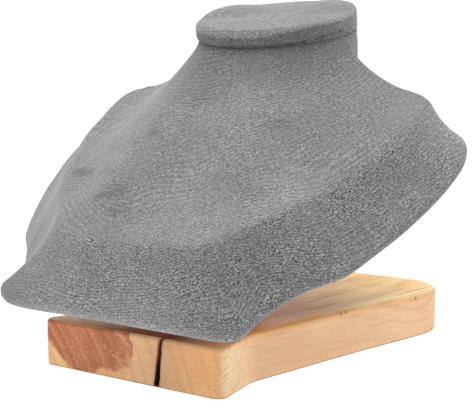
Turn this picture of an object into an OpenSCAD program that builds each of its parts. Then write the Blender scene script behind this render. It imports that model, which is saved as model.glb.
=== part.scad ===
// Necklace display stand: a low chest-and-neck bust in a stretched fabric
// cover, leaning back on a solid wooden slab.
// The origin lies under the middle of the slab's depth, on its underside, in
// the bust's plane of symmetry. X is across, -Y is the front, Z is up.

/* [Wooden base] */
// Depth of the slab, front to back
base_d = 214; // [160:1:300]
// Width of the slab at its front corners
base_front_w = 116; // [80:1:160]
// Width of the slab at its waist
base_waist_w = 95; // [60:1:140]
// Width of the slab near its rear corners
base_rear_w = 107; // [70:1:150]
// Thickness of the slab
base_t = 23; // [14:0.5:40]
// Distance that the slab sits to the left of the bust's middle
base_shift = 1.5; // [0:0.5:6]
// Radius of the front corners, seen from above
base_front_r = 5; // [2:0.5:12]
// Radius of the rear corners, seen from above
base_rear_r = 33; // [8:1:40]
// Rounding of the upper edge
base_ease = 1.6; // [0.5:0.1:4]
// Width of the crack at the lower edge of the front face
crack_w = 4; // [1:0.1:5]
// Depth of the crack into the slab
crack_depth = 14; // [4:1:30]
// Distance of the crack from the bust's middle, to the right
crack_x = 17; // [0:1:40]

/* [Riser block] */
// Width of the hidden block between slab and bust
riser_w = 30; // [20:1:60]
// Length of the block, front to back
riser_len = 60; // [40:1:80]
// Distance of the block behind the front of the slab
riser_inset = 16; // [8:1:40]

/* [Bust placing] */
// Backward tilt of the bust's flat underside
bust_tilt = 35; // [20:1:50]
// Distance that the bust's front edge stands out over the front of the slab
bust_overhang = 9.5; // [0:0.5:30]
// Height of the bust's front edge above the top of the slab
bust_rise = 5; // [2:0.5:20]

/* [Chest outline] */
// Width across the shoulder tips
shoulder_w = 243; // [180:1:300]
// Width across the two front corners
ear_w = 151; // [100:1:180]
// Width at the hollow behind the front corners
hollow_w = 157; // [110:1:190]
// Length of the chest from its front edge to the shoulder corners
chest_len = 146; // [100:1:180]
// Length of the whole underside, from its front edge to the back of the neck
back_len = 214; // [190:1:280]
// Radius of the rolled edge along the front
front_roll = 6.5; // [3:0.5:9]
// Radius of the rolled edge at the shoulders and the back
shoulder_roll = 2; // [1.5:0.5:7]

/* [Chest face] */
// Height of the chest ridge above the underside, along the front
ridge_front_h = 28.5; // [18:0.5:40]
// Height of the chest ridge above the underside, at the shoulders
ridge_shoulder_h = 18.5; // [12:0.5:30]
// How much further the ridge rises at the shoulder corners
shoulder_lift = 3; // [0:0.5:6]
// Distance that the ridge lies inside the rolled edge, along the front
ridge_inset = 28; // [18:1:40]
// Depth of the hollow in the wall between ridge and rolled edge
wall_hollow = 1.5; // [0:0.5:4]
// Rounding of the ridge, measured along the chest and down the wall
ridge_soft = 5; // [3:0.5:14]

/* [Neck] */
// Diameter of the covered neck plate
plate_d = 83.5; // [60:0.5:110]
// Thickness of the covered neck plate
plate_t = 9; // [5:0.5:14]
// Forward tilt of the neck plate
plate_tilt = 12; // [5:0.5:25]
// Sideways lean of the neck plate, its left side up
plate_lean = 3; // [-5:0.5:5]
// Distance of the plate's middle from the front edge, along the underside
plate_y = 182; // [160:1:210]
// Height of the plate's middle above the underside
plate_h = 48.5; // [36:0.5:70]
// How much narrower than the plate the neck is at its top, on each side
neck_step = 0.5; // [0:0.5:4]

/* [Cover and board] */
// Thickness of the fabric
cover_t = 1.2; // [0.8:0.1:2]
// Width of the fabric turned under the bust
hem_w = 12; // [6:1:20]
// Width of the fabric turned in under the neck plate
neck_hem = 8; // [4:1:15]
// Thickness of the board that closes the underside
board_t = 4; // [3:0.5:8]
// Distance of the board's edge inside the rolled edge of the bust
board_inset = 6; // [3:0.5:12]

/* [Screws] */
// Diameter of the screws through the slab
base_screw_d = 4.5; // [3:0.5:6]
// Length of the screws through the slab
base_screw_len = 42; // [30:1:50]
// Diameter of the screws through the board
board_screw_d = 3.5; // [2.5:0.5:5]
// Length of the screws through the board
board_screw_len = 22; // [12:1:30]
// Depth of the counterbore for the screw heads in the slab
head_sink = 4; // [1:0.5:8]
// Room around each screw
screw_gap = 0.1; // [0.05:0.05:0.5]

/* [Hidden] */

wood_colour = [0.87, 0.71, 0.54];
block_colour = [0.80, 0.66, 0.48];
cover_colour = [0.54, 0.54, 0.54];
core_colour = [0.86, 0.84, 0.79];
board_colour = [0.62, 0.48, 0.34];
steel_colour = [0.72, 0.73, 0.75];

// Rings round the bust: points for each stretch of the outline, and rings for
// the chest face, the ridge, the wall and the rolled edge
steps_between = 2;
chest_steps = 10;
ridge_steps = 4;
wall_steps = 3;
roll_steps = 6;

// Neck: rounding of its upper edge, how far its run-out follows the neck and
// the chest behind and in front, and how evenly the rings turn round it
neck_round = 1.5;
neck_pull_back = 0.31;
neck_pull_front = 1;
face_pull_back = 0.15;
face_pull_front = 0.85;
even_share = 0.28;

// Reach of the lift at the shoulder corners
lift_reach = 30;

// Slab: rounding at its waist and along its flanks, the waist's distance from
// the front, and the steps of the rounded corners and of the upper edge
waist_r = 25;
flank_r = 120;
waist_y = 34;
arc_step = 9;
ease_steps = 4;

// Crack: its width on the top as a share of the lower one, and how far it
// leans to the right on the way up
crack_top_share = 0.35;
crack_lean = 4;

// Screws: head and cone as shares of the diameter, and the flat of the point
head_ratio = 1.9;
head_cone = 0.55;
screw_point_r = 0.3;

// Neck plate: rounding of its edge, and the width that its cover takes in
// under it
plate_edge_r = 2;
plate_hem = 9;

eps = 0.01;

// Where the bust's own frame stands: its XY plane is the flat underside
bust_y = -base_d / 2 - bust_overhang;
bust_z = base_t + bust_rise;

function lerp(a, b, t) = a + (b - a) * t;
function unit(v) = v / norm(v);

// Smooth closed curve through the points, each stretch cut in equal steps
function spline_point(a, b, c, d, t) =
    0.5 * (2 * b + (c - a) * t + (2 * a - 5 * b + 4 * c - d) * t * t
    + (3 * b - a - 3 * c + d) * t * t * t);
function closed_spline(p, steps) = let (n = len(p)) [
    for (i = [0 : n - 1], k = [0 : steps - 1])
        spline_point(p[(i + n - 1) % n], p[i], p[(i + 1) % n], p[(i + 2) % n], k / steps)
];

// A half outline on the +X side, completed by its mirror image
function both_sides(half) = concat(half, [
    for (i = [len(half) - 2 : -1 : 1])
        [for (k = [0 : len(half[i]) - 1]) k == 0 ? -half[i][0] : half[i][k]]
]);

function bezier3(a, b, c, d, t) =
    a * pow(1 - t, 3) + 3 * b * t * pow(1 - t, 2) + 3 * c * t * t * (1 - t) + d * t * t * t;
function bezier2(a, b, c, t) = a * pow(1 - t, 2) + 2 * b * t * (1 - t) + c * t * t;

// Chest outline along the rolled edge, with the radius of the roll as a
// third value: front, front corner, hollow, shoulder tip, neck
ear = ear_w / 2;
hollow = hollow_w / 2;
shoulder = shoulder_w / 2;
back_room = back_len - chest_len;
side_roll = lerp(front_roll, shoulder_roll, 0.7);
rim_half = [
    [0, 0, front_roll],
    [ear * 0.46, 0, front_roll],
    [ear * 0.84, 0, front_roll],
    [ear * 0.97, chest_len * 0.026, front_roll],
    [ear * 0.99, chest_len * 0.088, lerp(front_roll, side_roll, 0.5)],
    [hollow, chest_len * 0.164, side_roll],
    [lerp(hollow, shoulder, 0.22), chest_len * 0.253, side_roll],
    [lerp(hollow, shoulder, 0.5), chest_len * 0.325, shoulder_roll],
    [lerp(hollow, shoulder, 0.68), chest_len * 0.43, shoulder_roll],
    [lerp(hollow, shoulder, 0.84), chest_len * 0.548, shoulder_roll],
    [lerp(hollow, shoulder, 0.945), chest_len * 0.67, shoulder_roll],
    [shoulder, chest_len * 0.795, shoulder_roll],
    [shoulder * 0.985, chest_len * 0.904, shoulder_roll],
    [shoulder * 0.9, chest_len, shoulder_roll],
    [shoulder * 0.64, chest_len + back_room * 0.18, shoulder_roll],
    [shoulder * 0.4, chest_len + back_room * 0.44, shoulder_roll],
    [shoulder * 0.24, chest_len + back_room * 0.76, shoulder_roll],
    [0, back_len, shoulder_roll]
];

// Ridge between chest face and wall, seen square to the underside, with a
// point for each point of the outline above
ridge_half = [
    [0, ridge_inset],
    [ear * 0.27, ridge_inset],
    [ear * 0.51, ridge_inset * 1.08],
    [ear * 0.63, ridge_inset * 1.24],
    [ear * 0.71, ridge_inset * 1.48],
    [shoulder * 0.5, chest_len * 0.35],
    [shoulder * 0.57, chest_len * 0.42],
    [shoulder * 0.637, chest_len * 0.49],
    [shoulder * 0.697, chest_len * 0.58],
    [shoulder * 0.742, chest_len * 0.68],
    [shoulder * 0.785, chest_len * 0.785],
    [shoulder * 0.79, chest_len * 0.89],
    [shoulder * 0.8, chest_len * 0.98],
    [shoulder * 0.767, chest_len + back_room * 0.1],
    [shoulder * 0.58, chest_len + back_room * 0.17],
    [shoulder * 0.36, chest_len + back_room * 0.38],
    [shoulder * 0.235, chest_len + back_room * 0.72],
    [0, back_len]
];

// The chest face falls evenly from the front ridge towards the shoulders
face_fall = (ridge_front_h - ridge_shoulder_h) / (chest_len - ridge_inset);
function face_h(y) = ridge_front_h - face_fall * (y - ridge_inset);

rim = closed_spline(both_sides(rim_half), steps_between);
ridge_flat = closed_spline(both_sides(ridge_half), steps_between);
shoulder_corner = [shoulder * 0.8, chest_len];
function lift(p) = let (d = norm([abs(p[0]), p[1]] - shoulder_corner) / lift_reach)
    shoulder_lift * exp(-d * d);
ridge = [for (p = ridge_flat) [p[0], p[1], face_h(p[1]) + lift(p)]];
count = len(rim);

function around(list, i) = list[(i + count) % count];
function outward(i) = let (t = around(rim, i + 1) - around(rim, i - 1)) unit([t[1], -t[0], 0]);

// Neck plate in the bust's frame: middle of its top, and the way it faces
plate_slope = bust_tilt - plate_tilt;
plate_across = [cos(plate_lean), 0, -sin(plate_lean)];
plate_axis = unit(cross(plate_across, [0, cos(plate_slope), -sin(plate_slope)]));
plate_along = cross(plate_axis, plate_across);
plate_top = [0, plate_y, plate_h];
neck_top = plate_top - plate_t * plate_axis;
neck_r = plate_d / 2 - neck_step;

// Direction of each ring point round the neck: half the way to the ridge
// point, half an even share of the turn
function turn_to(p) = atan2(p[1] - neck_top[1], p[0]);
function neck_turn(i) = let (
    even = -90 + 360 * i / count,
    seen = turn_to(ridge[i]),
    near = seen < even - 180 ? seen + 360 : seen
) lerp(near, even, even_share);
function on_neck(i, r) = let (a = neck_turn(i))
    neck_top + r * (cos(a) * plate_across + sin(a) * plate_along);

// Foot of the neck: straight down from the neck's top edge to the chest face
function neck_foot(i) = let (
    p = on_neck(i, neck_r),
    drop = (p[2] - face_h(p[1])) / (plate_axis[2] + face_fall * plate_axis[1])
) p - drop * plate_axis;

// Profile of the bust along one ring position, from the neck to the underside:
// the neck runs out wide in front and tighter behind
function front_share(i) = (1 - sin(neck_turn(i))) / 2;
function neck_pull(i) = lerp(neck_pull_back, neck_pull_front, front_share(i));
function face_pull(i) = lerp(face_pull_back, face_pull_front, front_share(i));
function chest_curve(i, t) = let (
    r = ridge[i],
    foot = neck_foot(i),
    top = on_neck(i, neck_r) - neck_round * plate_axis,
    start = r + min(ridge_soft, norm(foot - r) / 2) * unit(foot - r)
) bezier3(top, lerp(foot, top, neck_pull(i)), lerp(foot, start, face_pull(i)), start, t);

// The roll turns from the wall round to the underside about this middle line
function roll_mid(i) = let (p = rim[i], r = p[2])
    [p[0], p[1], 0] - 0.66 * r * outward(i) + [0, 0, r];
function wall_turn(i) = let (
    d = ridge[i] - roll_mid(i),
    out = -(d * outward(i)),
    up = d[2]
) atan2(out, up);
function roll_point(i, a) =
    roll_mid(i) + rim[i][2] * (cos(a) * outward(i) + [0, 0, sin(a)]);
function ridge_curve(i, t) = let (
    r = ridge[i],
    up = chest_curve(i, 1),
    down = r + ridge_soft * unit(roll_point(i, wall_turn(i)) - r)
) bezier2(up, r, down, t);

// The wall between ridge and roll is hollowed a little
function wall_curve(i, t) = let (
    a = ridge_curve(i, 1),
    b = roll_point(i, wall_turn(i)),
    run = unit(b - a),
    away = outward(i) + [0, 0, 1],
    square = unit(away - (away * run) * run)
) bezier2(a, (a + b) / 2 - 2 * wall_hollow * square, b, t);

function ring(f) = [for (i = [0 : count - 1]) f(i)];
hem_ring_top = ring(function (i) on_neck(i, neck_r - neck_hem));
rings_outside = concat(
    [hem_ring_top],
    [ring(function (i) on_neck(i, neck_r - neck_round))],
    [for (k = [0 : chest_steps]) ring(function (i) chest_curve(i, k / chest_steps))],
    [for (k = [1 : ridge_steps]) ring(function (i) ridge_curve(i, k / ridge_steps))],
    [for (k = [1 : wall_steps - 1]) ring(function (i) wall_curve(i, k / wall_steps))],
    [for (k = [0 : roll_steps])
        ring(function (i) roll_point(i, lerp(wall_turn(i), -90, k / roll_steps)))],
    [ring(function (i) roll_point(i, -90) - hem_w * outward(i))]
);
ring_count = len(rings_outside);

// Surface direction at a ring point, pointing out of the bust
function ring_normal(k, i) = let (
    a = rings_outside[max(k - 1, 0)][i],
    b = rings_outside[min(k + 1, ring_count - 1)][i],
    c = around(rings_outside[k], i - 1),
    d = around(rings_outside[k], i + 1)
) k == 0 || k == 1 ? plate_axis
  : k >= ring_count - 2 ? [0, 0, -1]
  : unit(cross(b - a, d - c));
rings_inside = [for (k = [0 : ring_count - 1])
    ring(function (i) rings_outside[k][i] - cover_t * ring_normal(k, i))];

// Side faces between ring after ring, as triangles
function band_faces(a, b) = [
    for (i = [0 : count - 1])
        let (j = (i + 1) % count, p = a * count + i, q = a * count + j,
             s = b * count + i, t = b * count + j)
        each [[p, q, s], [q, t, s]]
];
function flipped(faces) = [for (f = faces) [f[0], f[2], f[1]]];
module skin_of(outer, inner) {
    n = len(outer);
    polyhedron(
        points = [for (r = concat(outer, inner)) each r],
        faces = concat(
            [for (k = [0 : n - 2]) each band_faces(k, k + 1)],
            [for (k = [0 : n - 2]) each flipped(band_faces(n + k, n + k + 1))],
            flipped(band_faces(0, n)),
            flipped(band_faces(2 * n - 1, n - 1))
        )
    );
}
module solid_of(rings) {
    n = len(rings);
    polyhedron(
        points = [for (r = rings) each r],
        faces = concat(
            [[for (i = [count - 1 : -1 : 0]) i]],
            [for (k = [0 : n - 2]) each band_faces(k, k + 1)],
            [[for (i = [0 : count - 1]) (n - 1) * count + i]]
        )
    );
}
module in_bust_frame() {
    translate([0, bust_y, bust_z]) rotate([bust_tilt, 0, 0]) children();
}
module in_plate_frame() {
    turn = [[plate_across[0], plate_along[0], plate_axis[0], plate_top[0]],
            [plate_across[1], plate_along[1], plate_axis[1], plate_top[1]],
            [plate_across[2], plate_along[2], plate_axis[2], plate_top[2]],
            [0, 0, 0, 1]];
    in_bust_frame() multmatrix(turn) children();
}

// Outline of the slab: corners with a radius each, the round stretches as arcs
function corner_arc(a, b, c, r) = let (
    u = unit(a - b),
    v = unit(c - b),
    half = acos(u * v) / 2,
    mid = b + unit(u + v) * r / sin(half),
    p = b + u * r / tan(half),
    q = b + v * r / tan(half),
    from = atan2(p[1] - mid[1], p[0] - mid[0]),
    swing = atan2(q[1] - mid[1], q[0] - mid[0]) - from,
    turn = swing > 180 ? swing - 360 : swing < -180 ? swing + 360 : swing,
    steps = max(2, ceil(abs(turn) / arc_step))
) [for (k = [0 : steps]) mid + r * [cos(from + turn * k / steps), sin(from + turn * k / steps)]];

// Half outline of the slab on the +X side, with the radius of each corner
base_back = base_d / 2;
base_half = [
    [base_front_w / 2, -base_back, base_front_r],
    [base_waist_w / 2, -base_back + waist_y, waist_r],
    [lerp(base_waist_w, base_rear_w, 0.45) / 2, base_back * 0.13, flank_r],
    [base_rear_w / 2, base_back * 0.58, flank_r],
    [base_rear_w * 0.49, base_back, base_rear_r]
];
base_corners = concat(
    base_half,
    [for (i = [len(base_half) - 1 : -1 : 0]) [-base_half[i][0], base_half[i][1], base_half[i][2]]]
);
function flat(p) = [p[0], p[1]];
base_outline = let (n = len(base_corners)) [
    for (i = [0 : n - 1]) each corner_arc(
        flat(base_corners[(i + n - 1) % n]), flat(base_corners[i]),
        flat(base_corners[(i + 1) % n]), base_corners[i][2])
];
function edge_out(p, i) = let (n = len(p), t = p[(i + 1) % n] - p[(i + n - 1) % n])
    unit([t[1], -t[0]]);
function inset(p, d) = [for (i = [0 : len(p) - 1]) p[i] - d * edge_out(p, i)];

// The slab's upper edge, eased all round
module eased_top() {
    n = len(base_outline);
    low = base_t - base_ease;
    layers = [for (k = [0 : ease_steps])
        let (a = 90 * k / ease_steps)
        [for (p = inset(base_outline, base_ease * (1 - cos(a))))
            [p[0], p[1], low + base_ease * sin(a)]]];
    middles = [[0, 0, low], [0, 0, base_t]];
    last = ease_steps * n;
    polyhedron(
        points = concat([for (l = layers) each l], middles),
        faces = concat(
            [for (i = [0 : n - 1]) [last + n, i, (i + 1) % n]],
            [for (k = [0 : ease_steps - 1], i = [0 : n - 1])
                let (j = (i + 1) % n)
                each [[k * n + i, (k + 1) * n + i, k * n + j],
                      [(k + 1) * n + i, (k + 1) * n + j, k * n + j]]],
            [for (i = [0 : n - 1]) [last + n + 1, last + (i + 1) % n, last + i]]
        )
    );
}

// A drying crack: a wedge that opens downwards in the front face and runs out
// along the top
module crack() {
    low = crack_w / 2;
    middle = crack_w * 0.3;
    top = low * crack_top_share;
    translate([crack_x, -base_back, 0])
        rotate([90, 0, 0])
            translate([0, 0, -crack_depth])
                linear_extrude(height = crack_depth + eps)
                    polygon([[-low, -eps], [low, -eps],
                             [crack_lean / 2 + middle, base_t * 0.55],
                             [crack_lean + top, base_t + eps],
                             [crack_lean - top, base_t + eps],
                             [crack_lean / 2 - middle, base_t * 0.55]]);
}

// Countersunk screw along +Z with its head's face at z = 0
module screw(d, len) {
    head_d = d * head_ratio;
    cone_h = d * head_cone;
    rotate_extrude($fn = 48)
        polygon([[0, 0], [head_d / 2, 0], [d / 2, cone_h], [d / 2, len - d],
                 [screw_point_r, len], [0, len]]);
}
module screw_hole(d, len, above) {
    head_d = d * head_ratio + 2 * screw_gap;
    cone_h = d * head_cone;
    rotate_extrude($fn = 48)
        polygon([[0, -above], [head_d / 2, -above], [head_d / 2, 0],
                 [d / 2 + screw_gap, cone_h], [d / 2 + screw_gap, len + 1], [0, len + 1]]);
}

// Places of the screws: two in a line under the block, two side by side
// through the board
riser_y = -base_back + riser_inset;
base_screw_ys = [riser_y + riser_len * 0.22, riser_y + riser_len * 0.78];
module at_base_screws() {
    for (y = base_screw_ys) translate([0, y, head_sink]) children();
}
board_screw_y = (riser_y + riser_len / 2 - bust_y) / cos(bust_tilt);
module at_board_screws() {
    in_bust_frame()
        for (side = [-1, 1])
            translate([side * riser_w * 0.27, board_screw_y, 0]) rotate([180, 0, 0]) children();
}

module wood_base() {
    color(wood_colour)
        difference() {
            translate([-base_shift, 0, 0]) union() {
                linear_extrude(height = base_t - base_ease) polygon(base_outline);
                eased_top();
            }
            crack();
            at_base_screws() screw_hole(base_screw_d, base_screw_len, head_sink + 1);
        }
}

// Lower face of the board as a height over the ground
function board_under(y) = bust_z + tan(bust_tilt) * (y - bust_y) - board_t / cos(bust_tilt);
module riser_block() {
    color(block_colour)
        difference() {
            rotate([90, 0, 90]) translate([0, 0, -riser_w / 2])
                linear_extrude(height = riser_w)
                    polygon([[riser_y, base_t], [riser_y + riser_len, base_t],
                             [riser_y + riser_len, board_under(riser_y + riser_len)],
                             [riser_y, board_under(riser_y)]]);
            at_base_screws() screw_hole(base_screw_d, base_screw_len, head_sink + 1);
            at_board_screws() screw_hole(board_screw_d, board_screw_len, 1);
        }
}

module base_screws() {
    color(steel_colour) at_base_screws() screw(base_screw_d, base_screw_len);
}

module under_board() {
    edge = [for (i = [0 : count - 1]) flat(roll_point(i, -90))];
    color(board_colour)
        difference() {
            in_bust_frame() translate([0, 0, -board_t])
                linear_extrude(height = board_t) offset(r = -board_inset) polygon(edge);
            at_board_screws() screw_hole(board_screw_d, board_screw_len, 1);
        }
}

module board_screws() {
    color(steel_colour) at_board_screws() screw(board_screw_d, board_screw_len);
}

module bust_core() {
    color(core_colour) in_bust_frame()
        solid_of(concat([rings_outside[0]], rings_inside, [rings_outside[ring_count - 1]]));
}

module bust_cover() {
    color(cover_colour) in_bust_frame() skin_of(rings_outside, rings_inside);
}

// Round disc under the plate's own cover, turned on a lathe
module disc_profile(r, bottom, top, edge) {
    polygon(concat(
        [[0, bottom], [r - edge, bottom]],
        [for (a = [-60 : 30 : 0]) [r - edge + edge * cos(a), bottom + edge + edge * sin(a)]],
        [for (a = [0 : 30 : 90]) [r - edge + edge * cos(a), top - edge + edge * sin(a)]],
        [[0, top]]
    ));
}
module neck_plate() {
    color(board_colour) in_plate_frame() rotate_extrude($fn = 96) union() {
        disc_profile(plate_d / 2 - cover_t, -plate_t + cover_t, -cover_t, plate_edge_r - cover_t / 2);
        translate([0, -plate_t]) square([plate_d / 2 - plate_hem, plate_t / 2]);
    }
}

module plate_cover() {
    color(cover_colour) in_plate_frame() rotate_extrude($fn = 96) difference() {
        disc_profile(plate_d / 2, -plate_t, 0, plate_edge_r + cover_t / 2);
        disc_profile(plate_d / 2 - cover_t, -plate_t + cover_t, -cover_t, plate_edge_r - cover_t / 2);
        translate([0, -plate_t - eps]) square([plate_d / 2 - plate_hem, plate_t / 2 + eps]);
    }
}

wood_base();
riser_block();
base_screws();
under_board();
board_screws();
bust_core();
bust_cover();
neck_plate();
plate_cover();
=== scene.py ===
"""Necklace display stand: a low bust in grey microsuede, leaning back on a solid wooden slab."""

import math

import bmesh
import bpy
import numpy as np
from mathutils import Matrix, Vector, noise


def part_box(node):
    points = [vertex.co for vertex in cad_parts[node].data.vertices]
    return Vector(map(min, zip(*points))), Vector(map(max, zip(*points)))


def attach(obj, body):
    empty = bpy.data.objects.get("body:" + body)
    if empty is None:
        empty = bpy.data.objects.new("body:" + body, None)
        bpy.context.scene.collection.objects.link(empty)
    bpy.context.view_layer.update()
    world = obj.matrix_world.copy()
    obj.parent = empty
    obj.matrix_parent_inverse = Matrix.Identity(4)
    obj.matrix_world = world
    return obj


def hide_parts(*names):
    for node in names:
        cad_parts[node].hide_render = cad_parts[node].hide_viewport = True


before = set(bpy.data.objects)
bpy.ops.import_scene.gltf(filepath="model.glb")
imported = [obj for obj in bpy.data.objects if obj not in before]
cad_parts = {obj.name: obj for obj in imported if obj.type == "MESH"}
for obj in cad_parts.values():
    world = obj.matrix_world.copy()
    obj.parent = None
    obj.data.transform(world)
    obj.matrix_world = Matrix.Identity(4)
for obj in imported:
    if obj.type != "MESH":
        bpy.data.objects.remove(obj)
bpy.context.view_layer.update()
MM = 0.001

# Camera, where the photo was taken from, in metres. It looks this far to the left of +Y, and this far down
PHOTO_W = 472
FOCAL_PX = 1300
SENSOR_MM = 36
CAMERA_AT = Vector((0.41139, -0.53586, 0.14828))
CAMERA_AZIMUTH = math.radians(39)
CAMERA_PITCH = math.radians(6.4415)
CLIP_START = 0.01

# Cloth mesh: the CAD cover's points in a ring, its finer steps, and the rows of points that stay put at its ends
WELD = 0.02 * MM
RING_POINTS = 68
FINE_ACROSS = 6
FINE_STEP = 1.7 * MM
CLOTH = 0.9 * MM
COLLAR_ROWS = 6
HEM_ROWS = 8

# Soft waves of the cloth: noise scale, height and seed
WAVES = ((28, 0.2 * MM, 1), (90, 0.1 * MM, 2))
PLATE_WAVE = (40, 0.3 * MM, 4)

# Fabric grain: short rows, and fine fluff over them
FLUFF_STRETCH = (1100, 1100, 1900)
ROW_SCALE = 280.0
ROW_TILT = (-0.35, 0.12, 0)
ROW_WARP = 8.0
ROW_SWIRL = 0.03
ROW_SHARE = 0.2

# Nap: how ruffled it is, and how much smoother on the left and on the wall's outer parts
RIDGE_RING = 14
NAP = 0.4
NAP_WALL = 0.27
LEFT_SMOOTH = 0.82
TIP_SMOOTH = 0.72

# Painted shade and light: how much darker the neck, the front right wall and the seam are painted, and how much
# lighter the left
NECK_DARK = 0.3
NECK_DARK_END = 46 * MM
WALL_DARK = 0.28
DARK_WALL_AT = (0.055, -0.085, 0.06)
DARK_WALL_REACH = 75 * MM
LEFT_LIGHT = 0.08
SEAM_DARK = 0.6

# Painted shade of dents and creases in the cover: from, to and half width in millimetres, and darkness
MARK_STRENGTH = 1.3
MARKS = (
    ((-72, -68, 91), (-60, -72, 92.5), 3.5, 0.28),
    ((-48, -76, 94), (-38, -78, 94.5), 2.6, 0.16),
    ((-39, -64, 108.5), (-34, -65, 109), 3.0, 0.13),
    ((-70, -34, 116.5), (-66, -38, 117.5), 2.0, 0.15),
    ((-24, -64, 113), (-19, -65, 114), 1.6, 0.18),
    ((-6, -53, 130), (8, -50, 131), 6.0, 0.12),
    ((-36, -90, 83), (-20, -89, 86.5), 3.0, 0.2),
    ((-20, -96, 78), (-12, -96, 79), 4.0, 0.15),
    ((38, -51, 118), (45, -49, 119), 5.0, 0.1),
    ((-83, -84, 64.5), (-82, -90, 57), 1.0, 0.35),
)

# Neck: its foot is filled softly on the right
NECK_FILL_AT = (0.036, 0.030, 0.146)
NECK_FILL_REACH = 24 * MM
NECK_FILL_STEPS = 50
NECK_FILL_SINK = 0.15 * MM

# Plate cover: its round edge is smaller below on the right, where the cloth lies flush with the neck
PLATE_TURNS = 240
PLATE_EDGE = 2.6 * MM
PLATE_FLUSH = 2.1 * MM
PLATE_HEM = 9 * MM
PLATE_HOLE = 0.02 * MM
# Painted shade on the plate's band
BAND_DARK = 0.44

# Raised places at the plate's edge: angle from +X, half width and fade in degrees, and height
PLATE_LIFTS = ((58, 8, 34, 1.8 * MM), (172, 5, 32, 2.2 * MM))

# Slab, and its crack: widths, depth, lean, and where its stain fades on the top
SLAB_THICK = 0.023
SLAB_FRONT = 0.107
CRACK_LOW_W = 4.0 * MM
CRACK_TOP_W = 1.1 * MM
CRACK_DEPTH = 14 * MM
CRACK_X = 17 * MM
CRACK_LEAN = 3.2 * MM
CRACK_SHALLOW = 0.5
CRACK_FLOOR = 0.3 * MM
CRACK_STAIN_START = -0.090
CRACK_STAIN_END = -0.070
CRACK_STEPS = 12
CRACK_GAP = 0.02 * MM
FOOT_EASE = 0.9 * MM
TOP_EASE = 1.8 * MM
RECESS_TURNS = 40
RECESS_ROOM = 0.1 * MM

# Wood: the pith lies low on the left, outside the slab. The heartwood drifts this far left per metre of depth
PITH_X = -0.115
PITH_Z = -0.048
BAND_SCALE = 190.0
LINE_SCALE = 900.0
HEART_DRIFT = 0.25

# Dotted lines in the heartwood: slope and height. Knots in the right flank: y, z and radius
DOTTED_LINES = ((0.7, 0.0044), (0.7, 0.0172))
KNOTS = ((0.062, 0.0212, 0.0012), (0.080, 0.0018, 0.0010), (-0.003, 0.0222, 0.0010), (0.001, 0.0222, 0.0010))

# Studio. Lights: name, place, size and watts
LIGHTS = (
    ("softbox_top", (0, 0, 1.5), 1.2, 24),
    ("softbox_left", (-1.1, 0.9, 0.6), 0.8, 5.6),
    ("softbox_front", (0, -1.4, 0.15), 0.6, 5.4),
    ("softbox_right", (0.9, 1.3, 0.5), 0.8, 10),
)
LIGHTS_AIM = (0, 0, 0.08)
SKY_LOW = 1.02
SKY_HIGH = 0.0
SKY_FADE_START = 0.12
SKY_FADE_END = 0.3
FLOOR_WHITE = 0.3
FLOOR_GLOW = 0.93
FLOOR_GLOW_FAR = 1.1
FLOOR_RADIUS = 4
FLOOR_TURNS = 96


def circle(turns):
    """Points round a circle with radius 1."""
    return [(math.cos(2 * math.pi * i / turns), math.sin(2 * math.pi * i / turns)) for i in range(turns)]


def new_object(name, vertices, faces, material):
    mesh = bpy.data.meshes.new(name)
    mesh.from_pydata([tuple(v) for v in vertices], [], [tuple(f) for f in faces])
    mesh.validate()
    mesh.update()
    for polygon in mesh.polygons:
        polygon.use_smooth = True
    piece = bpy.data.objects.new(name, mesh)
    piece.data.materials.append(material)
    bpy.context.scene.collection.objects.link(piece)
    return piece


# Materials
class Shader:
    """A material's node tree. Each call adds a node, and an input is a value or another node's output."""

    def __init__(self, name):
        self.material = bpy.data.materials.new(name)
        self.material.use_nodes = True
        self.tree = self.material.node_tree
        self.surface = self.tree.nodes["Principled BSDF"]
        self.place = self.add("ShaderNodeTexCoord").outputs["Object"]

    def add(self, kind, settings=None, **inputs):
        node = self.tree.nodes.new(kind)
        for key, value in (settings or {}).items():
            setattr(node, key, value)
        for key, value in inputs.items():
            self.plug(node.inputs[int(key[1:]) if key[0] == "_" else key.replace("_", " ")], value)
        return node

    def plug(self, socket, value):
        if isinstance(value, bpy.types.NodeSocket):
            self.tree.links.new(value, socket)
        else:
            socket.default_value = value

    def noise(self, scale, detail=2, rough=0.5, at=None):
        node = self.add("ShaderNodeTexNoise", Vector=at or self.place, Scale=scale, Detail=detail, Roughness=rough)
        return node.outputs[0]

    def stretch(self, by, at=None, turn=(0, 0, 0)):
        node = self.add("ShaderNodeMapping", Vector=at or self.place, Scale=by, Rotation=turn)
        return node.outputs[0]

    def math(self, operation, a, b=0.0, c=0.0):
        node = self.add("ShaderNodeMath", {"operation": operation}, _0=a, _1=b, _2=c)
        return node.outputs[0]

    def remap(self, value, low, high, to_low=0.0, to_high=1.0, smooth=False):
        kind = "SMOOTHSTEP" if smooth else "LINEAR"
        node = self.add("ShaderNodeMapRange", {"interpolation_type": kind}, _0=value, _1=low, _2=high,
                        _3=to_low, _4=to_high)
        return node.outputs[0]

    def ramp(self, value, *stops):
        node = self.add("ShaderNodeValToRGB", Fac=value)
        line = node.color_ramp.elements
        while len(line) < len(stops):
            line.new(0.5)
        for element, (at, colour) in zip(line, stops):
            element.position = at
            element.color = (*colour[:3], 1)
        return node.outputs[0]

    def mix(self, share, a, b, way="MIX"):
        node = self.add("ShaderNodeMix", {"data_type": "RGBA", "blend_type": way}, _0=share, _6=a, _7=b)
        return node.outputs[2]

    def axes(self, at=None):
        return self.add("ShaderNodeSeparateXYZ", _0=at or self.place).outputs

    def bump(self, height, strength, distance, under=None):
        node = self.add("ShaderNodeBump", Height=height, Strength=strength, Distance=distance)
        if under is not None:
            self.plug(node.inputs["Normal"], under)
        return node.outputs[0]

    def set(self, **inputs):
        for key, value in inputs.items():
            self.plug(self.surface.inputs[key.replace("_", " ")], value)


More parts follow.
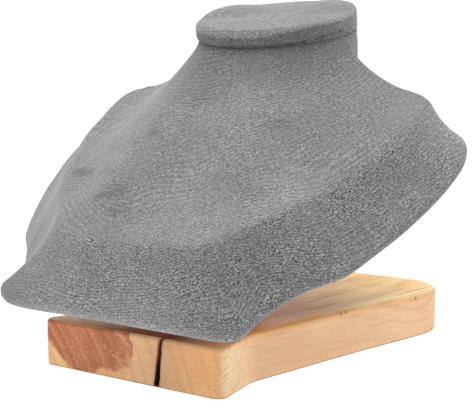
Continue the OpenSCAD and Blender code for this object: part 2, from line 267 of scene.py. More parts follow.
def rgba(r, g, b):
    """An sRGB colour from 0 to 255 as a linear one."""
    linear = [((c / 255 + 0.055) / 1.055) ** 2.4 if c > 10 else c / 3294 for c in (r, g, b)]
    return (*linear, 1)


def microsuede():
    s = Shader("microsuede")
    drift = s.add("ShaderNodeTexNoise", Vector=s.place, Scale=14.0, Detail=1.0).outputs[1]
    flow = s.add("ShaderNodeVectorMath", {"operation": "MULTIPLY_ADD"}, _0=drift, _1=(ROW_SWIRL,) * 3,
                 _2=s.place).outputs[0]
    rows = s.add("ShaderNodeTexWave", {"bands_direction": "Z"}, Vector=s.stretch((1, 1, 1), flow, ROW_TILT),
                 Scale=ROW_SCALE, Distortion=ROW_WARP, Detail=2.0, Detail_Scale=2.4,
                 Detail_Roughness=0.75).outputs["Fac"]
    fluff = s.noise(1, 1, 0.5, s.stretch(FLUFF_STRETCH))
    blots = s.noise(24, 3, 0.5)
    ruffled = s.add("ShaderNodeAttribute", {"attribute_name": "ruffled"}).outputs["Fac"]
    painted_shading = s.add("ShaderNodeAttribute", {"attribute_name": "painted_shading"}).outputs["Fac"]
    grain = s.math("ADD", s.math("MULTIPLY", rows, ROW_SHARE), s.math("MULTIPLY", fluff, 1 - ROW_SHARE))
    spots = s.remap(s.noise(70, 3, 0.6), 0.4, 0.6, 0.6, 0.9, smooth=True)
    contrast = s.math("MULTIPLY", spots, ruffled)
    level = s.math("MULTIPLY_ADD", s.math("SUBTRACT", grain, 0.5), contrast, 0.5)
    tone = s.math("MULTIPLY_ADD", s.math("SUBTRACT", blots, 0.5), 0.08, level)
    colour = s.ramp(tone, (0.36, (0.02, 0.02, 0.02)), (0.5, (0.235, 0.235, 0.235)),
                    (0.64, (0.6, 0.6, 0.6)))
    # Painted light and shade, multiplied into the colour
    colour = s.mix(1.0, colour, s.add("ShaderNodeCombineXYZ", _0=painted_shading, _1=painted_shading, _2=painted_shading).outputs[0], "MULTIPLY")
    s.set(Base_Color=colour, Roughness=0.95, Specular_IOR_Level=0.15,
          Sheen_Weight=0.3, Sheen_Roughness=0.45,
          Normal=s.bump(fluff, 0.5, 0.4 * MM, s.bump(blots, 0.25, 2 * MM)))
    s.surface.inputs["Sheen Tint"].default_value = (0.9, 0.9, 0.92, 1)
    return s.material


def wood(name, heart=True):
    s = Shader(name)
    x, y, z = s.axes()
    facing = s.axes(s.add("ShaderNodeNewGeometry").outputs["Normal"])
    end_grain = s.remap(s.math("ABSOLUTE", facing[1]), 0.25, 1.0, smooth=True)
    upward = s.remap(facing[2], 0.6, 0.95, smooth=True)
    depth = s.math("ADD", y, SLAB_FRONT)
    wobble = s.math("SUBTRACT", s.noise(14, 3, 0.55, s.stretch((1, 0.06, 1))), 0.5)
    ragged = s.math("SUBTRACT", s.noise(160, 3, 0.6, s.stretch((1, 0.1, 1))), 0.5)
    dx = s.math("SUBTRACT", x, PITH_X)
    dz = s.math("SUBTRACT", z, PITH_Z)
    reach = s.math("SQRT", s.math("ADD", s.math("MULTIPLY", dx, dx), s.math("MULTIPLY", dz, dz)))
    reach = s.math("MULTIPLY_ADD", wobble, 0.012, reach)
    bands = s.add("ShaderNodeTexNoise", {"noise_dimensions": "1D"}, W=reach, Scale=BAND_SCALE, Detail=2.0,
                  Roughness=0.5).outputs[0]
    lines = s.add("ShaderNodeTexNoise", {"noise_dimensions": "1D"}, W=reach, Scale=LINE_SCALE, Detail=2.0,
                  Roughness=0.6).outputs[0]
    fibre = s.noise(1, 4, 0.65, s.stretch((1500, 26, 1500)))
    pores = s.noise(1, 3, 0.6, s.stretch((800, 22, 800)))
    speck = s.noise(1000, 3, 0.7)
    clouds = s.noise(30, 4, 0.55, s.stretch((1, 0.5, 1)))
    spotty = s.remap(s.noise(60, 2, 0.5), 0.42, 0.58)

    # Long grain: a warm orange edge, a pinkish mottled middle, and thin dark lines along the board
    side = s.ramp(clouds, (0.36, rgba(247, 212, 172)), (0.5, rgba(238, 200, 160)),
                  (0.64, rgba(232, 188, 146)))
    upper = s.remap(s.math("MULTIPLY_ADD", wobble, 0.02, z), 0.017, 0.0205, smooth=True)
    side = s.mix(s.math("MULTIPLY", upper, 0.75), side, rgba(242, 180, 112))
    # Near the front corner the side is painted paler: painted light falling on the corner
    near_front = s.remap(depth, 0.01, 0.045, 1.0, 0.0, smooth=True)
    side = s.mix(s.math("MULTIPLY", near_front, 0.7), side, rgba(252, 222, 178))
    side = s.mix(s.remap(depth, 0.11, 0.2, 0.0, 0.75), side, rgba(224, 174, 126))
    # The top has its own lighter, yellower colour than the sides: painted light on the top, which the bust shades.
    # Towards the front it is painted yellower still, tinting that shade
    top = s.ramp(clouds, (0.36, rgba(252, 225, 172)), (0.52, rgba(250, 215, 160)),
                 (0.66, rgba(236, 194, 136)))
    top = s.mix(s.remap(depth, 0.06, 0.14, 0.95, 0.0, smooth=True), top, rgba(255, 190, 108))
    long_pale = s.mix(upward, side, top)
    ringed = s.math("MULTIPLY", s.remap(lines, 0.55, 0.68, 0.0, 0.16), s.math("SUBTRACT", 1.0, near_front))
    long_pale = s.mix(ringed, long_pale, rgba(186, 132, 86))
    slanted = s.noise(1, 2, 0.6, s.stretch((120, 50, 1300), s.stretch((1, 1, 1), turn=(-0.6, 0, 0))))
    slanted = s.math("MULTIPLY", s.remap(slanted, 0.5, 0.64, 0.0, 0.55), near_front)
    long_pale = s.mix(slanted, long_pale, rgba(196, 146, 96))
    streaks = s.math("MULTIPLY", s.remap(pores, 0.54, 0.64), s.math("MULTIPLY_ADD", upward, 0.4, 0.14))
    long_pale = s.mix(streaks, long_pale, rgba(140, 100, 60))
    long_pale = s.mix(s.remap(fibre, 0.45, 0.75, 0.0, 0.2), long_pale, rgba(196, 146, 98))

    # End grain: faint rings, palest beside the heartwood, orange specks low on the right
    end_pale = s.ramp(clouds, (0.36, rgba(242, 192, 140)), (0.52, rgba(235, 180, 126)),
                      (0.68, rgba(226, 165, 108)))
    end_pale = s.mix(s.remap(x, 0.013, 0.02, 0.75, 0.0), end_pale, rgba(248, 199, 147))
    end_pale = s.mix(s.remap(bands, 0.5, 0.68, 0.0, 0.35), end_pale, rgba(206, 144, 88))
    low_right = s.remap(s.math("MULTIPLY_ADD", x, 0.6, s.math("MULTIPLY", z, -1.0)), 0.005, 0.03)
    orange = s.math("MULTIPLY", s.remap(speck, 0.48, 0.62), s.math("MULTIPLY_ADD", low_right, 0.4, 0.32))
    end_pale = s.mix(orange, end_pale, rgba(196, 126, 76))
    pale = s.mix(end_grain, long_pale, end_pale)

    # Heartwood: red brown, drifting to the left with depth, with a pale wedge at its lower left corner
    mottled = s.math("MULTIPLY_ADD", s.math("SUBTRACT", s.noise(110, 4, 0.65), 0.5), 0.5, bands)
    red = s.ramp(mottled, (0.36, rgba(172, 99, 66)), (0.5, rgba(185, 114, 76)),
                 (0.64, rgba(200, 132, 93)))
    red = s.mix(s.remap(lines, 0.52, 0.66, 0.0, 0.14), red, rgba(156, 86, 58))
    red = s.mix(s.math("MULTIPLY", s.remap(speck, 0.5, 0.62), s.math("MULTIPLY_ADD", spotty, 0.45, 0.2)), red,
                rgba(224, 158, 112))
    red = s.mix(s.remap(speck, 0.5, 0.38, 0.0, 0.3), red, rgba(150, 82, 56))
    dots = s.math("MULTIPLY", s.remap(s.noise(700, 1, 0.5), 0.46, 0.6), s.remap(x, -0.02, -0.012))
    for slope, height in DOTTED_LINES:
        off = s.math("ABSOLUTE", s.math("SUBTRACT", s.math("MULTIPLY_ADD", x, slope, z), height))
        red = s.mix(s.math("MULTIPLY", s.remap(off, 0.0004, 0.002, 0.75, 0.0), dots), red, rgba(232, 180, 140))
    middle = s.math("SUBTRACT", z, 0.014)
    bulge = s.math("MULTIPLY_ADD", s.math("MULTIPLY", middle, middle), 34.0, s.math("MULTIPLY", depth, HEART_DRIFT))
    edge = s.math("ADD", s.math("ADD", x, bulge), s.math("MULTIPLY", ragged, 0.005))
    heartwood = s.remap(edge, 0.0015, 0.0032, 1.0, 0.0, smooth=True)
    rough_edge = s.math("MULTIPLY", s.remap(edge, -0.008, 0.001, 0.0, 0.9), s.remap(ragged, -0.02, 0.06))
    red = s.mix(rough_edge, red, rgba(222, 166, 124))
    low = s.math("MULTIPLY_ADD", x, 0.78, s.math("MULTIPLY_ADD", ragged, 0.006, z))
    wedge = s.remap(low, -0.0315, -0.0285, 0.0, 1.0, smooth=True)
    foot = s.math("MULTIPLY_ADD", x, -0.27, s.math("MULTIPLY_ADD", ragged, 0.01, z))
    wedge = s.math("MULTIPLY", wedge, s.remap(foot, 0.0055, 0.0085, 0.25, 1.0, smooth=True))
    heartwood = s.math("MULTIPLY", heartwood, wedge)
    if not heart:
        heartwood = 0.0
    base = s.mix(heartwood, pale, red)
    # The top just behind the front edge is painted paler: painted light against the shade under the bust's rim
    front_strip = s.math("MULTIPLY", upward, s.remap(depth, 0.01, 0.025, 0.9, 0.0))
    base = s.mix(front_strip, base, rgba(252, 204, 158))
    # A thin dark line along the foot: painted contact shade
    base = s.mix(s.remap(z, 0.0, 0.0012, 0.85, 0.0), base, rgba(96, 62, 44))

    # Crack: reddish edges, and painted shade inside it, black brown below and dark red above
    if heart:
        run = s.math("MULTIPLY_ADD", z, -CRACK_LEAN / SLAB_THICK, s.math("SUBTRACT", x, CRACK_X))
        near = s.math("ABSOLUTE", s.math("MULTIPLY_ADD", s.math("SUBTRACT", s.noise(300, 3, 0.6), 0.5), 0.0016, run))
        front = s.remap(y, CRACK_STAIN_START, CRACK_STAIN_END, 1.0, 0.0, smooth=True)
        stain = s.math("MULTIPLY", s.remap(near, 0.0008, 0.0024, 1.0, 0.0, smooth=True), front)
        stain = s.math("MULTIPLY", stain, s.math("MULTIPLY_ADD", upward, -0.6, 1.0))
        base = s.mix(s.math("MULTIPLY", stain, 0.8), base, rgba(128, 58, 50))
        inside = s.add("ShaderNodeAttribute", {"attribute_name": "crack_shade"}).outputs["Fac"]
        inside_shade = s.mix(s.remap(z, 0.008, 0.014, smooth=True), rgba(56, 40, 32), rgba(128, 58, 56))
        base = s.mix(inside, base, inside_shade)

        # Small knots in the right flank
        flank = s.stretch((0, 1, 1))
        right = s.remap(x, 0.02, 0.03)
        for knot_y, knot_z, size in KNOTS:
            gap = s.add("ShaderNodeVectorMath", {"operation": "DISTANCE"}, _0=flank, _1=(0, knot_y, knot_z))
            knot = s.remap(gap.outputs["Value"], size * 0.4, size, 0.85, 0.0, smooth=True)
            base = s.mix(s.math("MULTIPLY", knot, right), base, rgba(120, 70, 40))
    s.set(Base_Color=base, Roughness=s.remap(fibre, 0.3, 0.7, 0.52, 0.7), Specular_IOR_Level=0.3,
          Normal=s.bump(fibre, 0.25, 0.25 * MM))
    return s.material


def board_material():
    s = Shader("fibreboard")
    fluff = s.noise(900, 4, 0.7)
    clouds = s.noise(30, 3, 0.5)
    tone = s.math("MULTIPLY_ADD", clouds, 0.4, s.math("MULTIPLY", fluff, 0.6))
    s.set(Base_Color=s.ramp(tone, (0.3, (0.20, 0.13, 0.075)), (0.7, (0.38, 0.27, 0.17))), Roughness=0.85,
          Normal=s.bump(fluff, 0.3, 0.3 * MM))
    return s.material


def foam_material():
    s = Shader("rigid_foam")
    cells = s.noise(1400, 3, 0.6)
    s.set(Base_Color=s.ramp(cells, (0.3, (0.62, 0.58, 0.47)), (0.7, (0.78, 0.74, 0.63))), Roughness=0.8,
          Normal=s.bump(cells, 0.4, 0.4 * MM))
    return s.material


def steel_material():
    s = Shader("zinc_plate")
    patches = s.noise(700, 3, 0.6)
    s.set(Base_Color=s.ramp(patches, (0.3, (0.50, 0.51, 0.52)), (0.7, (0.68, 0.68, 0.66))), Metallic=1.0,
          Roughness=s.remap(patches, 0.3, 0.7, 0.28, 0.45))
    return s.material


SUEDE = microsuede()
WOOD = wood("softwood")
BLOCK_WOOD = wood("block_softwood", heart=False)
FIBREBOARD = board_material()
FOAM = foam_material()
STEEL = steel_material()


# Neck plate: where it lies, from the CAD disc's own points
def disc_place(node):
    """Middle of the disc's top, its axis, its radius and its thickness."""
    points = np.array([v.co for v in node.data.vertices])
    centre = (points.min(0) + points.max(0)) / 2
    _, _, turn = np.linalg.svd(points - centre, full_matrices=False)
    axis = turn[2] * np.sign(turn[2][2])
    heights = (points - centre) @ axis
    middle = centre + axis * heights.max()
    away = points - middle
    flat = away - np.outer(away @ axis, axis)
    for _ in range(40):
        reach = np.linalg.norm(flat, axis=1)
        far = flat[reach > reach.max() * 0.9]
        shift = (far.min(0) + far.max(0)) / 2
        flat -= shift
        middle = middle + shift
    return middle, axis, np.linalg.norm(flat, axis=1).max(), heights.max() - heights.min()


# Bust cover: a smooth grid through the CAD cover's outer rings
def cover_rings(node, top, axis):
    """Outer rings of the cover, from the neck down and round to the hem, as rings x places x XYZ."""
    mesh = bmesh.new()
    mesh.from_mesh(node.data)
    bmesh.ops.remove_doubles(mesh, verts=mesh.verts, dist=WELD)
    heights = {v: (np.array(v.co) - top) @ axis for v in mesh.verts}
    crown = max(h for v, h in heights.items() if near_axis(v, top, axis) < 0.05)
    level = [v for v in mesh.verts if abs(heights[v] - crown) < 0.05 * MM and near_axis(v, top, axis) < 0.05]
    level.sort(key=lambda v: near_axis(v, top, axis))
    ring = set(level[:RING_POINTS])
    seen = set(ring)
    grid = []
    count = len(mesh.verts) // RING_POINTS // 2
    start = max(ring, key=lambda v: -abs(v.co.x) - v.co.y)
    for _ in range(count):
        grid.append(walk(ring, start))
        following = {e.other_vert(v) for v in ring for e in v.link_edges} - seen
        if len(following) > RING_POINTS:
            lower = sorted(following, key=lambda v: heights[v])[:RING_POINTS]
            seen |= set(lower)
            following -= set(lower)
        ahead = [e.other_vert(start) for e in start.link_edges if e.other_vert(start) in following]
        start = max(ahead, key=lambda v: v.co.x)
        seen |= following
        ring = following
    points = np.array([[v.co[:] for v in row] for row in grid])
    mesh.free()
    return points


def near_axis(v, top, axis):
    away = np.array(v.co) - top
    return np.linalg.norm(away - (away @ axis) * axis)


def walk(ring, start):
    """The ring's points in order from start, first towards +X."""
    order = [start]
    beside = [e.other_vert(start) for e in start.link_edges if e.other_vert(start) in ring]
    current = max(beside, key=lambda v: v.co.x)
    while current is not start:
        order.append(current)
        beside = [e.other_vert(current) for e in current.link_edges if e.other_vert(current) in ring]
        current = beside[0] if beside[1] is order[-2] else beside[1]
    return order


def between(a, b, c, d, t):
    """A smooth curve from b to c."""
    return 0.5 * (2 * b + (c - a) * t + (2 * a - 5 * b + 4 * c - d) * t ** 2 + (3 * b - a - 3 * c + d) * t ** 3)


def refine(grid):
    """The grid at a finer step, round the rings and from ring to ring, and each new row's place among the rings."""
    n = grid.shape[1]
    places = [between(grid[:, (i - 1) % n], grid[:, i], grid[:, (i + 1) % n], grid[:, (i + 2) % n], k / FINE_ACROSS)
              for i in range(n) for k in range(FINE_ACROSS)]
    wide = np.stack(places, axis=1)
    last = len(wide) - 1
    rows = []
    level = []
    for k in range(last):
        steps = max(1, math.ceil(np.linalg.norm(wide[k + 1] - wide[k], axis=1).mean() / FINE_STEP))
        rows += [between(wide[max(k - 1, 0)], wide[k], wide[k + 1], wide[min(k + 2, last)], t / steps)
                 for t in range(steps)]
        level += [k + t / steps for t in range(steps)]
    return np.stack(rows + [wide[last]]), np.array(level + [last])


def grid_normals(grid):
    down = np.gradient(grid, axis=0)
    across = np.roll(grid, -1, 1) - np.roll(grid, 1, 1)
    normal = np.cross(down, across)
    return normal / np.maximum(np.linalg.norm(normal, axis=2, keepdims=True), 1e-12)


def noise_at(points, scale, seed, octaves=2):
    shift = Vector((seed * 3.7, seed * 1.9, seed * 5.3))
    flat = points.reshape(-1, 3)
    values = [noise.fractal(Vector(p) * scale + shift, 0.8, 2.1, octaves) for p in flat]
    return np.array(values).reshape(points.shape[:-1])


def skin(name, outer, normals, thickness, material):
    """A piece of cloth with a thickness: an outer and an inner grid, joined along both rims."""
    rows, n = outer.shape[:2]
    inner = outer - thickness * normals
    vertices = np.concatenate([outer.reshape(-1, 3), inner.reshape(-1, 3)])
    faces = []
    for k in range(rows - 1):
        for i in range(n):
            j = (i + 1) % n
            a, b, c, d = k * n + i, k * n + j, (k + 1) * n + j, (k + 1) * n + i
            faces.append((a, d, c, b))
            faces.append(tuple(v + rows * n for v in (a, b, c, d)))
    for row, turned in ((0, False), (rows - 1, True)):
        for i in range(n):
            a, b = row * n + i, row * n + (i + 1) % n
            rim = (a, b, b + rows * n, a + rows * n)
            faces.append(rim[::-1] if turned else rim)
    return new_object(name, vertices, faces, material)


def paint(piece, name, values):
    """A value for each point of the mesh."""
    layer = piece.data.attributes.new(name, "FLOAT", "POINT")
    layer.data.foreach_set("value", np.array(values, dtype=np.float32))


def paint_cloth(piece, name, values):
    """A value for each point of the outer grid, the same on the inner side of the cloth."""
    paint(piece, name, np.concatenate([values.reshape(-1), values.reshape(-1)]))


def ease(value, low, high):
    """0 below low, 1 above high, smooth between."""
    t = np.clip((value - low) / (high - low), 0, 1)
    return t * t * (3 - 2 * t)


def disc_sides(axis):
    """The two directions in the disc's plane, the first towards +X."""
    side = np.array((1, 0, 0)) - axis * axis[0]
    side = side / np.linalg.norm(side)
    return side, np.cross(axis, side)


def around(points, top, axis):
    """For each point, the distance from the disc's axis, the angle round it from +X in degrees, and the height."""
    side, along = disc_sides(axis)
    away = points - top
    a, b = away @ side, away @ along
    return np.hypot(a, b), np.degrees(np.arctan2(b, a)), away @ axis


def sector(angle, middle, flat, fade):
    """1 within flat degrees of the middle angle, and 0 from fade degrees further on."""
    off = np.abs((angle - middle + 180) % 360 - 180)
    return 1 - ease(off, flat, flat + fade)


def swell(points, middle, reach):
    """A soft round mask about a place."""
    return np.exp(-(np.linalg.norm(points - np.array(middle), axis=-1) / reach) ** 2)


def marks(points):
    """How far the painted shade of the dents and creases darkens each point, from 0 to 1."""
    dark = np.zeros(points.shape[:-1])
    for start, end, half, depth in MARKS:
        a, b = np.array(start) * MM, np.array(end) * MM
        share = np.clip((points - a) @ (b - a) / ((b - a) @ (b - a)), 0, 1)
        off = np.linalg.norm(points - a - share[..., None] * (b - a), axis=-1)
        dark += MARK_STRENGTH * depth * np.exp(-(off / (half * MM)) ** 2)
    return dark


def bust_cover(top, axis, thick):
    rings = cover_rings(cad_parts["bust_cover"], top, axis)
    grid, level = refine(rings)
    normals = grid_normals(grid)
    soft = sum(noise_at(grid, scale, seed) * height for scale, height, seed in WAVES)
    fade = np.ones(grid.shape[0])
    fade[-HEM_ROWS:] = 0
    fade[:COLLAR_ROWS] = 0
    grid = grid + normals * (soft * fade[:, None])[..., None]

    # The neck's foot is smoothed, but the cloth may sink only so far that the core stays hidden
    inner = ease(level, 1.1, 2) * (1 - ease(level, RIDGE_RING - 5, RIDGE_RING - 2))
    filled = (swell(grid, NECK_FILL_AT, NECK_FILL_REACH) * inner[:, None])[1:-1, :, None]
    start = grid.copy()
    for _ in range(NECK_FILL_STEPS):
        grid[1:-1] += 0.5 * filled * ((grid[:-2] + grid[2:]) / 2 - grid[1:-1])
    raised = ((grid - start) * normals).sum(axis=2)
    grid = start + normals * np.maximum(raised, -NECK_FILL_SINK)[..., None]
    normals = grid_normals(grid)
    piece = skin("bust_fabric", grid, normals, CLOTH, SUEDE)
    reach, turn, height = around(grid, top, axis)

    # The nap is ruffled on the walls and smooth on the left. Shade is painted on the neck, the front right wall, the
    # seam under the plate and the dents, and light is painted on the left
    wall = np.broadcast_to(ease(level, RIDGE_RING, RIDGE_RING + 1.3)[:, None], grid.shape[:2])
    left = ease(-normals[..., 0], 0.25, 0.75)
    smooth_tip = ease(-grid[..., 0], 5 * MM, 85 * MM) + 0.35 * ease(grid[..., 0], 85 * MM, 105 * MM)
    ruffled = (NAP + NAP_WALL * wall) * (1 - LEFT_SMOOTH * left) * (1 - TIP_SMOOTH * wall * smooth_tip)
    paint_cloth(piece, "ruffled", ruffled)
    neck = (1 - ease(-height, NECK_DARK_END - 18 * MM, NECK_DARK_END)) * (1 - ease(reach, 50 * MM, 72 * MM))
    corner = swell(grid, DARK_WALL_AT, DARK_WALL_REACH)
    seam = (1 - ease(-height - thick, 0.2 * MM, 1.0 * MM)) * sector(turn, -95, 40, 25)
    painted_shading = (1 - NECK_DARK * neck) * (1 - WALL_DARK * wall * corner) * (1 + LEFT_LIGHT * left)
    painted_shading = painted_shading * (1 - SEAM_DARK * seam) * (1 - marks(grid))
    paint_cloth(piece, "painted_shading", painted_shading)
    return piece


def plate_cover(top, axis, radius, thick):
    side, along = disc_sides(axis)
    angle = np.arange(PLATE_TURNS) * 360 / PLATE_TURNS
    flush = sector(angle, 35, 65, 25)
    under = PLATE_EDGE - PLATE_FLUSH * flush
    hem = radius - PLATE_HEM
    whole = np.ones(PLATE_TURNS)
    turn = np.radians(np.arange(0, 91, 15))

    # The cloth's outline from the hem under the disc, round both edges, to the middle of the top
    profile = [(hem + (radius - under - hem) * t / 3, -thick * whole) for t in range(3)]
    profile += [(radius - under * (1 - math.sin(a)), -thick + under * (1 - math.cos(a))) for a in turn]
    profile += [(radius * whole, -thick + under + (thick - under - PLATE_EDGE) * t / 10) for t in range(1, 10)]
    profile += [((radius - PLATE_EDGE * (1 - math.cos(a))) * whole, (PLATE_EDGE * math.sin(a) - PLATE_EDGE) * whole)
                for a in turn]
    profile += [((radius - PLATE_EDGE) * (1 - t / 14) * whole, 0 * whole) for t in range(1, 14)]
    profile += [(PLATE_HOLE * whole, 0 * whole)]
    out = np.array([r for r, h in profile[::-1]])
    up = np.array([h for r, h in profile[::-1]])
    lift = sum(size * sector(angle, middle, flat, fade) for middle, flat, fade, size in PLATE_LIFTS)
    raised = up + lift * ease(out, 0.3 * radius, 0.95 * radius) * ease(up, -thick, -0.25 * thick)
    spoke = np.cos(np.radians(angle))[:, None] * side + np.sin(np.radians(angle))[:, None] * along
    grid = np.array(top) + out[..., None] * spoke + raised[..., None] * axis
    normals = grid_normals(grid)
    scale, height, seed = PLATE_WAVE
    grid = grid + normals * (noise_at(grid, scale, seed) * height)[..., None]
    normals = grid_normals(grid)
    piece = skin("plate_fabric", grid, normals, CLOTH, SUEDE)

    # The band's painted shade starts lower at the front left, and the painted shade in the crease fades out to the
    # right
    rim = -1.1 * MM - 2.6 * MM * sector(angle, -95, 25, 50)
    band = (1 - ease(up, rim - 0.7 * MM, rim + 0.7 * MM)) * (out > 0.9 * radius)
    crease_at = -thick + 0.5 * MM + 1.9 * MM * ease(angle - 360 * (angle > 180), -50, -5)
    specks = 0.68 + 0.32 * np.clip(noise_at(grid, 420, 6) * 2.4, -1, 1)
    strength = 1.05 * sector(angle, -92, 38, 25) + 0.75 * sector(angle, -28, 22, 16)
    crease = np.exp(-((up - crease_at) / (0.6 * MM)) ** 2) * np.clip(strength, 0, 0.93) * specks
    paint_cloth(piece, "ruffled", 0.36 + 0.1 * band)
    paint_cloth(piece, "painted_shading", (1 - (BAND_DARK - 0.1 * flush) * band) * (1 - crease))
    return piece


# Slab
def slab_outline(node):
    """The slab's outline seen from above, from the CAD slab's lower corners, without crack and screw holes."""
    low = [v.co for v in node.data.vertices if v.co.z < 0.01 * MM]
    middle = (min(v.x for v in low) + max(v.x for v in low)) / 2
    front = min(v.y for v in low)
    kept = {}
    for v in low:
        in_crack = v.y < front + CRACK_DEPTH + MM and abs(v.x - CRACK_X) < 2 * CRACK_LOW_W
        at_middle = math.hypot(v.x - middle, (v.y - front) * 0.3) < 22 * MM and abs(v.x) < 12 * MM
        in_hole = at_middle and v.y > front + MM
        if in_crack or in_hole:
            continue
        kept[round(v.x, 5), round(v.y, 5)] = math.atan2(v.y, v.x - middle)
    return [np.array(p) for p in sorted(kept, key=kept.get)]


def crack_line(z, thick):
    """Middle of the crack at a height, and its width there."""
    share = z / thick
    ragged = noise.noise(Vector((z * 500, 3, 1))) * 0.6 * MM
    middle = CRACK_X + CRACK_LEAN * share + noise.noise(Vector((z * 350, 8, 2))) * 0.45 * MM
    return middle, CRACK_LOW_W * (1 - share) ** 0.8 + CRACK_TOP_W * share + ragged


def slab():
    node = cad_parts["wood_base"]
    outline = slab_outline(node)
    low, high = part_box("wood_base")
    front = low.y
    thick = high.z
    at_crack = max(i for i, p in enumerate(outline) if p[1] < front + 0.1 * MM and p[0] < CRACK_X)
    before, after = outline[:at_crack + 1], outline[at_crack + 1:]
    whole = before + after
    count = len(whole)
    outward = []
    for i in range(count):
        t = whole[(i + 1) % count] - whole[i - 1]
        outward.append(np.array((t[1], -t[0])) / np.linalg.norm(t))
    levels = [(FOOT_EASE * (1 - math.sin(a)), FOOT_EASE * (1 - math.cos(a))) for a in np.radians((0, 30, 60, 90))]
    levels += [(0, thick * t / 14) for t in range(1, 13)]
    levels += [(TOP_EASE * (1 - math.cos(a)), thick - TOP_EASE * (1 - math.sin(a)))
               for a in np.radians((0, 18, 36, 54, 72, 90))]
    vertices = []
    crack_shade = []
    for pull, z in levels:
        middle, width = crack_line(z, thick)
        notch = []
        lifted = z + CRACK_FLOOR * (1 - z / thick)
        for k in range(CRACK_STEPS + 1):
            depth = k / CRACK_STEPS
            drift = noise.noise(Vector((depth * 5, z * 120, 4))) * 0.7 * MM * depth
            inward = CRACK_DEPTH * depth * (1 - CRACK_SHALLOW * z / thick)
            notch.append((middle + drift, width / 2 * (1 - depth ** 2), front + inward + pull))
        dents = [noise.noise(Vector((p[0] * 60, p[1] * 60, z * 60))) * 0.25 * MM for p in whole]
        moved = [p - (pull + d) * o for p, d, o in zip(whole, dents, outward)]
        inner = [(m - h, y) for m, h, y in notch] + [(m + h + CRACK_GAP, y) for m, h, y in notch[::-1]]
        ring = [tuple(p) for p in moved[:len(before)]] + inner + [tuple(p) for p in moved[len(before):]]
        vertices += [(x, y, z) for x, y in ring[:len(before)]]
        vertices += [(x, y, lifted) for x, y in inner]
        vertices += [(x, y, z) for x, y in ring[len(before) + len(inner):]]
        # Painted shade inside the crack
        crack_shade += [0] * len(before) + [0.15] + [1] * (2 * CRACK_STEPS) + [0.15] + [0] * len(after)
    n = len(vertices) // len(levels)
    faces = [(k * n + i, k * n + (i + 1) % n, (k + 1) * n + (i + 1) % n, (k + 1) * n + i)
             for k in range(len(levels) - 1) for i in range(n)]
    faces.append(tuple((len(levels) - 1) * n + i for i in range(n)))
    # The crack's mouth underneath is closed just above the floor and darkened with the crack's painted shade
    mouth = list(range(len(before) - 1, n - len(after) + 1))
    faces.append(tuple(mouth[::-1]))
    crack_shade += screw_recesses(vertices, faces, [i for i in range(n) if i not in mouth[1:-1]])
    piece = new_object("wood_slab", vertices, faces, WOOD)
    paint(piece, "crack_shade", crack_shade)
    return piece


def screw_recesses(vertices, faces, outline):
    """Closes the underside, with a round recess under each screw head. Returns the painted crack shade of the new
    points.
    """
    low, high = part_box("base_screws")
    radius = (high.x - low.x) / 2 + RECESS_ROOM
    middles = (low.y + radius, high.y - radius)
    turns = RECESS_TURNS
    rims = []
    for y in middles:
        for z in (0, low.z):
            rims.append(len(vertices))
            vertices += [(radius * c, y + radius * d, z) for c, d in circle(turns)]
    for a, b in ((rims[0], rims[1]), (rims[2], rims[3])):
        faces += [(a + i, a + (i + 1) % turns, b + (i + 1) % turns, b + i) for i in range(turns)]
        faces.append(tuple(b + i for i in range(turns - 1, -1, -1)))
    fill = bmesh.new()
    loops = [outline] + [list(range(a, a + turns)) for a in (rims[0], rims[2])]
    edges = []
    index = {}
    for loop in loops:
        points = [fill.verts.new(vertices[i]) for i in loop]
        index.update(zip(points, loop))
        edges += [fill.edges.new((points[k - 1], points[k])) for k in range(len(points))]
    bmesh.ops.triangle_fill(fill, edges=edges, use_beauty=True, normal=(0, 0, -1))
    for face in fill.faces:
        corners = [index[v] for v in face.verts]
        faces.append(tuple(corners if face.normal.z < 0 else corners[::-1]))
    fill.free()
    return [0.0] * (4 * turns)


# Scene around the object
def camera():
    data = bpy.data.cameras.new("camera")
    data.sensor_width = SENSOR_MM
    data.lens = FOCAL_PX / PHOTO_W * SENSOR_MM
    data.clip_start = CLIP_START
    eye = bpy.data.objects.new("camera", data)
    eye.location = CAMERA_AT
    eye.rotation_euler = (math.pi / 2 - CAMERA_PITCH, 0, CAMERA_AZIMUTH)
    bpy.context.scene.collection.objects.link(eye)
    bpy.context.scene.camera = eye


def area_light(name, at, size, power):
    data = bpy.data.lights.new(name, "AREA")
    data.size = size
    data.energy = power
    lamp = bpy.data.objects.new(name, data)
    lamp.location = at
    lamp.rotation_euler = (Vector(LIGHTS_AIM) - Vector(at)).to_track_quat("-Z", "Y").to_euler()
    bpy.context.scene.collection.objects.link(lamp)


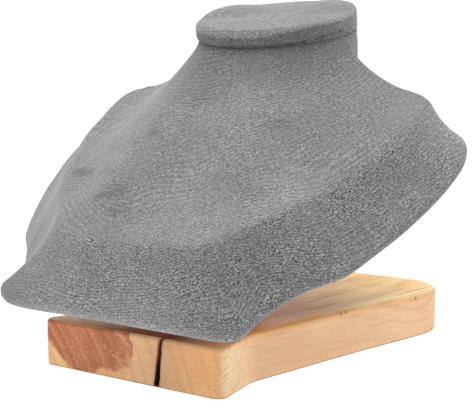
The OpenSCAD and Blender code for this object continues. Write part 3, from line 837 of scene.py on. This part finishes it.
def studio():
    s = Shader("white_floor")
    s.set(Base_Color=(FLOOR_WHITE, FLOOR_WHITE, FLOOR_WHITE, 1), Roughness=0.9, Specular_IOR_Level=0.1,
          Emission_Color=(1, 1, 1, 1))
    away = s.add("ShaderNodeVectorMath", {"operation": "LENGTH"}, _0=s.place).outputs["Value"]
    s.set(Emission_Strength=s.remap(away, 0.4, 2.0, FLOOR_GLOW, FLOOR_GLOW_FAR))
    rim = [(FLOOR_RADIUS * c, FLOOR_RADIUS * d, 0) for c, d in circle(FLOOR_TURNS)]
    floor = new_object("floor", rim, [tuple(range(FLOOR_TURNS))], s.material)

    # The sky is bright low down and dark above, so the fabric's top stays grey
    world = bpy.data.worlds.new("studio")
    world.use_nodes = True
    tree = world.node_tree
    place = tree.nodes.new("ShaderNodeTexCoord")
    split = tree.nodes.new("ShaderNodeSeparateXYZ")
    lift = tree.nodes.new("ShaderNodeMapRange")
    tree.links.new(place.outputs["Generated"], split.inputs[0])
    tree.links.new(split.outputs[2], lift.inputs[0])
    for i, value in enumerate((SKY_FADE_START, SKY_FADE_END, SKY_LOW, SKY_HIGH)):
        lift.inputs[i + 1].default_value = value
    tree.links.new(lift.outputs[0], tree.nodes["Background"].inputs["Strength"])
    tree.nodes["Background"].inputs["Color"].default_value = (1, 1, 1, 1)
    bpy.context.scene.world = world

    for lamp in LIGHTS:
        area_light(*lamp)
    bpy.context.scene.view_settings.view_transform = "Standard"
    bpy.context.scene.view_settings.look = "None"


camera()
studio()

plate_top, plate_axis, plate_r, plate_thick = disc_place(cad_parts["plate_cover"])
cover = bust_cover(plate_top, plate_axis, plate_thick)
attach(cover, "root")
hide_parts("bust_cover")
cap = plate_cover(plate_top, plate_axis, plate_r, plate_thick)
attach(cap, "root")
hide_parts("plate_cover")
base = slab()
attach(base, "root")
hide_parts("wood_base")

for node_name, material in (("riser_block", BLOCK_WOOD), ("under_board", FIBREBOARD), ("neck_plate", FIBREBOARD),
                            ("bust_core", FOAM), ("base_screws", STEEL), ("board_screws", STEEL)):
    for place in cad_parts[node_name].material_slots:
        place.material = material
